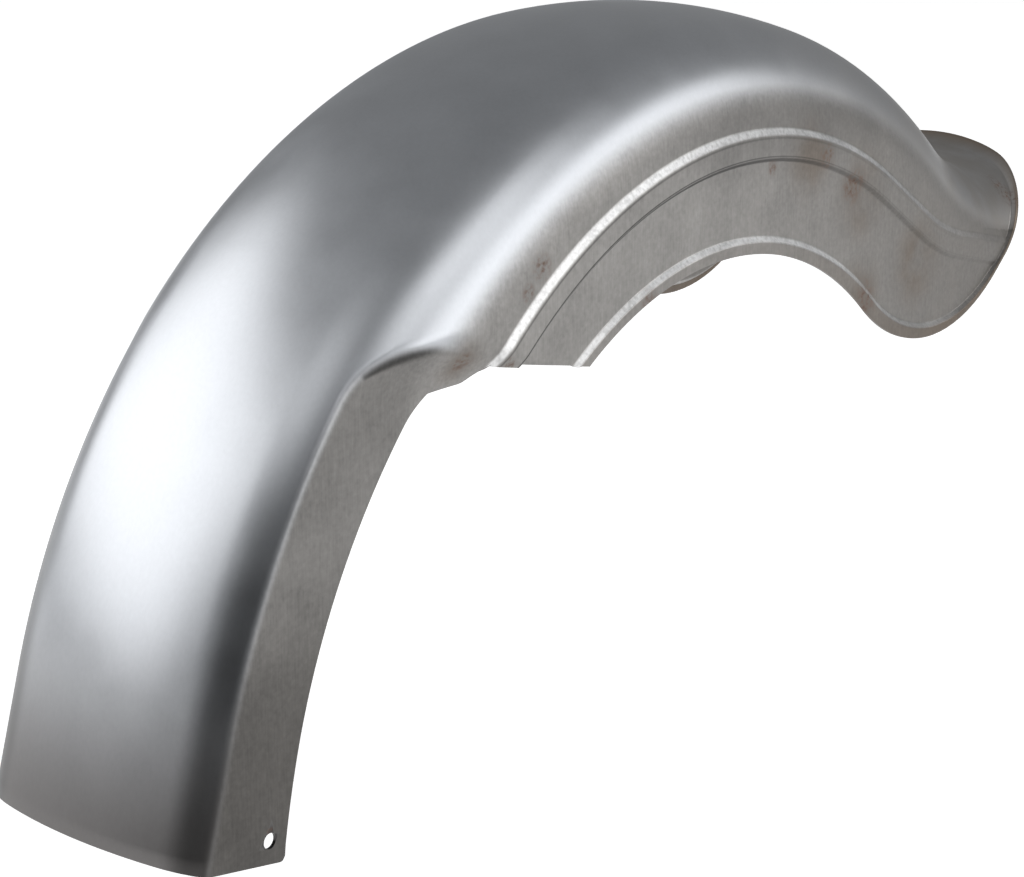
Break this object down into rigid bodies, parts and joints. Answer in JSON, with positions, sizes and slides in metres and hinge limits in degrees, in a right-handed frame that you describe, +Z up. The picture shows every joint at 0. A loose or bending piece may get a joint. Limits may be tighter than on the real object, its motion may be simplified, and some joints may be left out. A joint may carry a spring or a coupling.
{
  "type": "motorcycle rear fender",
  "caption": "Bare-steel bobbed rear fender with a rounded crown, narrow front, flared side skirts with a pressed strip and stepped lip, and a swept-up tail.",
  "frame": {"origin": "middle of the front bolt's axis, half way between the two front side walls", "axes": "+X to the rear of the machine, +Z up, +Y along the bolt's axis to the rider's right"},
  "size_m": [0.7369, 0.1856, 0.3377],
  "materials": {
    "raw_steel": "bare satin steel, fine brushing on the side walls, light surface rust along the edges"
  },
  "bodies": {
    "root": {"fender_shell": "raw_steel"}
  },
  "joints": []
}
